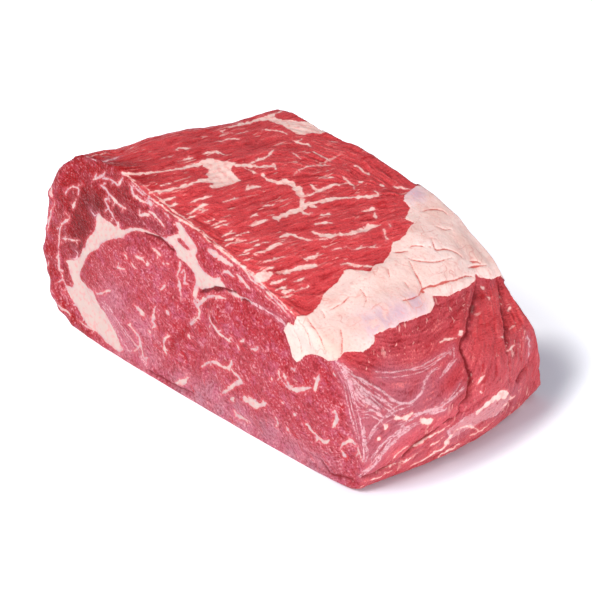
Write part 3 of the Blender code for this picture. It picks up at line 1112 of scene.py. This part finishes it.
def relief(places, normals, streaks, fields):
    """How far each place moves out along its normal, in millimetres."""
    millimetres = places / MM
    zones = zone_shares(normals)
    flap = smooth_step(fields["flap"], *FLAP_RISE)
    height = zones["cut"] * lumps(millimetres, CUT_LUMPS)
    height += zones["top"] * lumps(millimetres, TOP_LUMPS)
    height += zones["side"] * lumps(millimetres, SIDE_LUMPS)
    ridges = sum(depth * streaks[name] for name, depth in STREAK_RIDGES.items())
    height += (1 - STREAKS_OFF_CUT * zones["cut"]) * ridges
    height -= SEAM_SINK * smooth_step(fields["fat"], *SEAM_RISE)
    height = (1 - flap) * height + flap * (FLAP_LIFT + lumps(millimetres, FLAP_LUMPS))
    height -= SLIT_DEPTH * smooth_step(fields["slit"], *SLIT_RISE)
    height -= CREASE_DEPTH * np.exp(-(np.minimum(fields["crease"], 0) / CREASE_SPREAD) ** 2)
    height -= CRACK_DEPTH * np.exp(-(np.minimum(fields["crack"], 0) / CRACK_SPREAD) ** 2)
    height -= FOLD_DEPTH * smooth_step(fields["fold"], *FOLD_RISE)
    for x, y, radius, amount in NUDGES:
        squared = ((places - nearest_shown(places, normals, (x, y))) ** 2).sum(axis=1)
        height += amount * np.exp(-squared / (radius * MM) ** 2)
    return height * smooth_step(millimetres[:, 2], *FLOOR_FADE)


def store(mesh, name, kind, values):
    """Keep a value at each vertex, for the material."""
    attribute = mesh.attributes.new(name, kind, "POINT")
    key = {"FLOAT": "value", "FLOAT_VECTOR": "vector", "FLOAT_COLOR": "color"}[kind]
    attribute.data.foreach_set(key, np.ascontiguousarray(values, np.float32).ravel())


def fields_on(places, normals, tree):
    """The fields of the strokes and areas at each place, all but the flap's."""
    draw = random.Random(STROKE_SEED)
    grouped = Grouped(places)
    shown = normals @ BACK > 0
    end_on = (*CUT_SEAMS, *widened((*CAP_VEINS, *EYE_VEINS), CUT_VEIN_WIDENING))
    end_on = with_twigs(end_on, draw, CUT_TWIG_ANGLES)
    lengthwise = (*widened(TOP_SEAMS, TOP_SEAM_WIDENING), *widened(TOP_VEINS, TOP_VEIN_WIDENING))
    lengthwise = with_twigs(lengthwise, draw, TOP_TWIG_ANGLES)
    veins = cast_all(tree, (*end_on, *lengthwise, *CREST_LINES, *SIDE_FAT, *BACK_PATCHES), draw)
    fat = grouped.field(veins + hidden_veins(tree))
    for loops in FAT_AREAS:
        fat = np.maximum(fat, area_field(places, shown, tree, grouped, loops))
    pale = grouped.field(cast_all(tree, (*fanned(MEMBRANE_LINES, draw), *PALE_LINES), draw))
    pale = np.maximum(pale, area_field(places, shown, tree, grouped, (MEMBRANE_AREA,)))
    fields = {"fat": fat, "pale": pale}
    for name, strokes in {"slit": SLITS, "crease": CREASES, "crack": FLAP_CRACKS, "fold": SOFT_FOLDS}.items():
        fields[name] = grouped.field(cast_all(tree, strokes, draw))
    return fields


def make_skin():
    """The ribeye's visible mesh, with its relief and what the material reads."""
    mesh = remeshed(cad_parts["ribeye"])
    refine_shown_side(mesh)
    mesh.name = "ribeye_skin"
    places = rows_of(mesh.vertices, "co", 3).astype(float)
    places = smoothed(places, rows_of(mesh.edges, "vertices", 2, np.int32), SMOOTHING_ROUNDS)
    places[:, 2] = places[:, 2].clip(0)
    set_places(mesh, places)
    normals = rows_of(mesh.vertices, "normal", 3).astype(float)
    skin = bmesh.new()
    skin.from_mesh(mesh)
    tree = BVHTree.FromBMesh(skin)
    skin.free()
    twins, facing = twins_on_front(places, normals, tree)
    fields = fields_on(twins, facing, tree)
    fields["flap"] = flap_field(places, normals, tree, Grouped(places))
    flow = flow_directions(twins, facing, tree)
    streaks = {name: smeared_noise(twins, flow, *sizes) for name, sizes in STREAKS.items()}
    lean = lean_colours(twins, facing, tree)
    flap_colours = washed(np.tile(linear(FLAP_FAT), (len(places), 1)), places, tree, FLAP_WASHES)
    solid = np.ones((len(places), 1))
    store(mesh, "lean", "FLOAT_COLOR", np.hstack([lean, solid]))
    store(mesh, "flap_colour", "FLOAT_COLOR", np.hstack([flap_colours, solid]))
    store(mesh, "grain", "FLOAT_VECTOR", grain_coordinates(places, normals))
    store(mesh, "cut", "FLOAT", smooth_step(zone_shares(normals)["cut"], *CUT_RISE))
    for name, values in {**fields, **streaks}.items():
        store(mesh, name, "FLOAT", values)
    height = relief(places, normals, streaks, fields)
    set_places(mesh, places + normals * height[:, None] * MM)
    mesh.shade_smooth()
    return mesh


class Net:
    """Short ways to add and join the nodes of a material."""

    def __init__(self, name):
        self.material = bpy.data.materials.new(name)
        self.material.use_nodes = True
        self.nodes = self.material.node_tree.nodes
        self.links = self.material.node_tree.links
        self.surface = self.nodes["Principled BSDF"]

    def put(self, socket, value):
        """Join an output to the socket, or set the socket to a plain value."""
        if isinstance(value, bpy.types.NodeSocket):
            self.links.new(value, socket)
        else:
            socket.default_value = value

    def attribute(self, name, output="Fac"):
        node = self.nodes.new("ShaderNodeAttribute")
        node.attribute_name = name
        return node.outputs[output]

    def math(self, operation, first, second=0.0):
        node = self.nodes.new("ShaderNodeMath")
        node.operation = operation
        self.put(node.inputs[0], first)
        self.put(node.inputs[1], second)
        return node.outputs[0]

    def rise(self, value, low, high, top=1.0):
        """0 below low, top above high, and a smooth rise between."""
        node = self.nodes.new("ShaderNodeMapRange")
        node.interpolation_type = "SMOOTHSTEP"
        self.put(node.inputs["Value"], value)
        node.inputs["From Min"].default_value = low
        node.inputs["From Max"].default_value = high
        node.inputs["To Max"].default_value = top
        return node.outputs["Result"]

    def add(self, *values):
        """The sum of outputs and numbers."""
        total = values[0]
        for value in values[1:]:
            total = self.math("ADD", total, value)
        return total

    def times(self, *values):
        """The product of outputs and numbers."""
        product = values[0]
        for value in values[1:]:
            product = self.math("MULTIPLY", product, value)
        return product

    def rest_of(self, share):
        """What a share leaves of 1."""
        return self.math("SUBTRACT", 1.0, share)

    def centred(self, value, strength):
        """A noise from 0 to 1 as one about 0, made that much stronger."""
        return self.times(self.math("SUBTRACT", value, 0.5), strength)

    def mix(self, share, first, second, blend="MIX"):
        """Colours blended by a share of the second."""
        node = self.nodes.new("ShaderNodeMix")
        node.data_type = "RGBA"
        node.blend_type = blend
        self.put(node.inputs[0], share)
        self.put(node.inputs[6], first)
        self.put(node.inputs[7], second)
        return node.outputs[2]

    def paint(self, share, under, colour):
        """A colour laid over what is under it."""
        return self.mix(share, under, opaque(colour))

    def blend_values(self, share, first, second):
        """Numbers blended by a share of the second."""
        node = self.nodes.new("ShaderNodeMix")
        self.put(node.inputs[0], share)
        self.put(node.inputs[2], first)
        self.put(node.inputs[3], second)
        return node.outputs[0]

    def noise(self, places, scale, detail=2.0, distortion=0.0, output="Fac"):
        node = self.nodes.new("ShaderNodeTexNoise")
        self.put(node.inputs["Vector"], places)
        node.inputs["Scale"].default_value = scale
        node.inputs["Detail"].default_value = detail
        node.inputs["Distortion"].default_value = distortion
        return node.outputs[output]

    def cells(self, places, shift, shift_scale, scale, feature):
        """A distance in a pattern of irregular cells."""
        node = self.nodes.new("ShaderNodeTexVoronoi")
        node.feature = feature
        self.put(node.inputs["Vector"], self.shifted(places, shift, shift_scale))
        node.inputs["Scale"].default_value = scale
        return node.outputs["Distance"]

    def tone(self, places, name):
        """One of the tones, as a noise about 0."""
        noise_values, strength = TONES[name]
        return self.centred(self.noise(places, *noise_values), strength)

    def mark(self, places, name):
        """Where one of the marks is, as a share."""
        noise_values, rise_values = MARKS[name]
        return self.rise(self.noise(places, *noise_values), *rise_values)

    def edge(self, depth, name):
        """Where one of the colours has set in, as a share."""
        return self.rise(depth, *EDGES[name])

    def shifted(self, places, amount, scale):
        """The places pushed about by a noise."""
        node = self.nodes.new("ShaderNodeVectorMath")
        node.operation = "MULTIPLY_ADD"
        self.put(node.inputs[0], self.noise(places, scale, output="Color"))
        node.inputs[1].default_value = (amount, amount, amount)
        self.put(node.inputs[2], places)
        return node.outputs[0]

    def in_millimetres(self):
        """The place on the object, in millimetres."""
        node = self.nodes.new("ShaderNodeVectorMath")
        node.operation = "SCALE"
        self.put(node.inputs[0], self.nodes.new("ShaderNodeTexCoord").outputs["Object"])
        node.inputs["Scale"].default_value = 1 / MM
        return node.outputs[0]

    def bump(self, height, strength, depth):
        node = self.nodes.new("ShaderNodeBump")
        self.put(node.inputs["Height"], height)
        node.inputs["Strength"].default_value = strength
        node.inputs["Distance"].default_value = depth
        return node.outputs["Normal"]


def opaque(colour):
    return (*linear(colour), 1)


def beef_material():
    """Raw beef: lean with its fibres, grain and marbling, seams of fat, the flap, and dark creases."""
    net = Net("raw_beef")
    place = net.in_millimetres()
    grain = net.attribute("grain", "Vector")
    cut = net.attribute("cut")
    along = net.rest_of(cut)
    lean = net.attribute("lean", "Color")

    # Fibres lengthwise on the top and sides, and bundles end on at the cuts.
    hairs = net.add(net.tone(grain, "hairs along"), net.tone(place, "hairs"))
    fascicles = net.centred(net.cells(place, *FASCICLES, "F1"), FASCICLE_TONE)
    bundles = net.add(net.tone(place, "bundles"), net.tone(grain, "bundles along"), fascicles)
    streaks = net.add(*(net.times(net.attribute(name), share) for name, share in STREAK_TONES.items()))
    streaks = net.times(streaks, net.blend_values(cut, 1.0, STREAKS_ON_CUT))
    tone = net.add(net.tone(place, "patches"), streaks, net.blend_values(cut, hairs, bundles))
    marbled = net.rise(lean, *MARBLED_BRIGHTNESS)
    darker = net.mix(1.0, lean, (*DARKENING, 1), "MULTIPLY")
    lighter = net.mix(LIGHTENING, lean, net.mix(cut, opaque(LIGHT_FIBRE), opaque(PALE_GRAIN)))
    light_share = net.times(net.rise(tone, *LIGHTER), net.rise(marbled, *LIGHTER_IF_MARBLED))
    light_share = net.times(light_share, net.blend_values(cut, 1.0, LIGHTER_ON_CUT))
    lean = net.paint(net.times(net.mark(place, "purple"), cut, marbled), lean, PURPLE_SHEEN)
    lean = net.paint(net.mark(grain, "deep"), lean, DEEP_FIBRE)
    lean = net.mix(net.rise(tone, *DARKER), lean, darker)
    lean = net.mix(light_share, lean, lighter)

    # Small flecks of fat that the strokes leave out: streaks on the top, specks on the cuts.
    fleck = net.add(net.times(net.mark(grain, "streak"), along), net.times(net.mark(grain, "speck"), cut))
    fleck = net.times(fleck, net.mark(place, "flecked area"), marbled)

    # Edges waver, and a depth is how far inside such an edge a place lies.
    ragged = net.add(net.tone(place, "ragged"), net.tone(place, "wavering"))
    depth = {
        name: net.add(net.attribute(name), net.times(ragged, amount)) for name, amount in RAGGEDNESS.items()
    }

    # Seams, veins and membranes.
    fat = net.edge(depth["fat"], "fat")
    pale = net.times(net.edge(depth["pale"], "pale"), net.mark(place, "whole membrane"))
    # On the cuts, fat takes darker copies of its colours: partly painted shade against the stronger light
    # there.
    thick_fat = net.paint(cut, opaque(FAT), CUT_FAT)
    thin_fat = net.paint(cut, opaque(FAT_PINK), CUT_FAT_PINK)
    fat_tone = net.mix(net.edge(depth["fat"], "thick fat"), thin_fat, thick_fat)
    fat_tone = net.mix(net.mark(place, "pink fat"), fat_tone, thin_fat)
    shade = net.times(net.edge(depth["fat"], "fat edge"), net.mark(place, "shaded fat"), cut)
    fat_tone = net.paint(shade, fat_tone, CUT_FAT_SHADE)
    pale_tone = net.paint(net.edge(net.attribute("pale"), "thick pale"), opaque(MEMBRANE), SHEER_FAT)
    colour = net.paint(net.edge(depth["fat"], "halo"), lean, VEIN_HALO)
    colour = net.mix(fleck, colour, thin_fat)
    colour = net.paint(net.edge(net.attribute("pale"), "sheen"), colour, SHEER)
    colour = net.mix(pale, colour, pale_tone)
    colour = net.mix(fat, colour, fat_tone)

    # The flap of fat, with its cracks.
    flap = net.edge(depth["flap"], "flap")
    flap_tone = net.attribute("flap_colour", "Color")
    flap_tone = net.paint(net.mark(place, "shaded flap"), flap_tone, FLAP_SHADE)
    flap_tone = net.paint(net.mark(place, "pink flap"), flap_tone, FAT_PINK)
    fine_cracks = net.rise(net.cells(place, *FINE_CRACKS, "DISTANCE_TO_EDGE"), *FINE_CRACK_EDGE)
    fine_cracks = net.times(fine_cracks, net.mark(place, "cracked flap"))
    flap_tone = net.paint(fine_cracks, flap_tone, FINE_CRACK)
    flap_tone = net.paint(net.edge(depth["crack"], "crack"), flap_tone, CRACK)
    colour = net.mix(flap, colour, flap_tone)

    # Slits and creases, where little light comes in.
    crease = net.times(net.edge(depth["crease"], "crease"), net.rest_of(flap))
    colour = net.paint(crease, colour, CREASE)
    colour = net.paint(net.edge(depth["slit"], "slit"), colour, SLIT)
    colour = net.paint(net.edge(net.attribute("fold"), "fold"), colour, CAP)

    # The tone of lean is also its bumps, fat stands a little over it, and the flap has soft lumps.
    pale_surface = net.math("MAXIMUM", fat, flap)
    flap_bumps = net.times(net.noise(place, *FLAP_BUMP_NOISE), flap, FLAP_BUMP)
    bumps = net.add(net.times(tone, net.rest_of(pale_surface)), net.times(pale_surface, FAT_BUMP), flap_bumps)
    net.put(net.surface.inputs["Base Color"], colour)
    net.put(net.surface.inputs["Roughness"], net.blend_values(pale_surface, LEAN_ROUGHNESS, FAT_ROUGHNESS))
    net.put(net.surface.inputs["Normal"], net.bump(bumps, BUMP_STRENGTH, BUMP_DEPTH))
    net.surface.inputs["Specular IOR Level"].default_value = SPECULAR_LEVEL
    net.surface.inputs["Subsurface Weight"].default_value = SUBSURFACE_WEIGHT
    net.surface.inputs["Subsurface Radius"].default_value = SUBSURFACE_RADIUS
    net.surface.inputs["Subsurface Scale"].default_value = SUBSURFACE_SCALE
    return net.material


def floor_material():
    """White, and bright by itself away from the side whose shadow shows."""
    net = Net("floor_white")
    narrowed = net.nodes.new("ShaderNodeVectorMath")
    narrowed.operation = "MULTIPLY"
    net.put(narrowed.inputs[0], net.in_millimetres())
    narrowed.inputs[1].default_value = SHADOW_SQUEEZE
    off_the_side = net.nodes.new("ShaderNodeVectorMath")
    off_the_side.operation = "DISTANCE"
    net.put(off_the_side.inputs[0], narrowed.outputs["Vector"])
    off_the_side.inputs[1].default_value = np.multiply(SHADOW_MIDDLE, SHADOW_SQUEEZE)
    glow = net.rise(off_the_side.outputs["Value"], *GLOW_DISTANCES, FLOOR_GLOW)
    net.surface.inputs["Emission Color"].default_value = (1, 1, 1, 1)
    net.put(net.surface.inputs["Emission Strength"], glow)
    net.surface.inputs["Base Color"].default_value = (*FLOOR_COLOUR, 1)
    net.surface.inputs["Roughness"].default_value = FLOOR_ROUGHNESS
    return net.material


def add_floor():
    mesh = bpy.data.meshes.new("floor")
    corners = [(x * FLOOR_HALF_WIDTH, y * FLOOR_HALF_WIDTH, -FLOOR_DROP)
               for x, y in ((-1, -1), (1, -1), (1, 1), (-1, 1))]
    mesh.from_pydata(corners, [], [(0, 1, 2, 3)])
    mesh.materials.append(floor_material())
    floor = bpy.data.objects.new("floor", mesh)
    bpy.context.scene.collection.objects.link(floor)


def add_area_light(name, place, size, watts):
    """A square soft light at a place, aimed at the meat."""
    light = bpy.data.lights.new(name, "AREA")
    light.size = size
    light.energy = watts
    lamp = bpy.data.objects.new(name, light)
    lamp.location = place
    aim = Vector(CAMERA_TARGET) - Vector(place)
    lamp.rotation_euler = aim.to_track_quat("-Z", "Y").to_euler()
    bpy.context.scene.collection.objects.link(lamp)


def add_world():
    world = bpy.data.worlds.new("studio")
    world.use_nodes = True
    sky = world.node_tree.nodes["Background"]
    sky.inputs["Color"].default_value = (*SKY_COLOUR, 1)
    sky.inputs["Strength"].default_value = SKY_STRENGTH
    bpy.context.scene.world = world


def add_camera():
    lens = bpy.data.cameras.new("camera")
    lens.sensor_width = SENSOR_WIDTH
    lens.lens = SENSOR_WIDTH * FOCAL_PIXELS / max(IMAGE_WIDTH, IMAGE_HEIGHT)
    camera = bpy.data.objects.new("camera", lens)
    camera.location = CAMERA_PLACE
    camera.rotation_euler = Vector(-BACK).to_track_quat("-Z", "Y").to_euler()
    bpy.context.scene.collection.objects.link(camera)
    bpy.context.scene.camera = camera


def add_studio():
    """White floor and sky, a soft light from the front, and a broad weak one from the right."""
    bpy.context.scene.view_settings.view_transform = "Standard"
    add_floor()
    add_world()
    for name, (place, size, watts) in LIGHTS.items():
        add_area_light(name, place, size, watts)
    add_camera()


def add_ribeye():
    mesh = make_skin()
    mesh.materials.append(beef_material())
    piece = bpy.data.objects.new("ribeye_skin", mesh)
    bpy.context.scene.collection.objects.link(piece)
    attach(piece, "root")
    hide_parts("ribeye")


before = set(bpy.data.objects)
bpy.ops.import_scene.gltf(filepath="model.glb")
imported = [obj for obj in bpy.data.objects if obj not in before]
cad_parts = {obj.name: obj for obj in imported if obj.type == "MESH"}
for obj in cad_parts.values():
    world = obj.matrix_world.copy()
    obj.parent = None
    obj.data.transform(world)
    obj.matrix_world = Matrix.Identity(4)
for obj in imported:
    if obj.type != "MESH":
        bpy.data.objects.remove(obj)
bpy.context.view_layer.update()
add_studio()
add_ribeye()
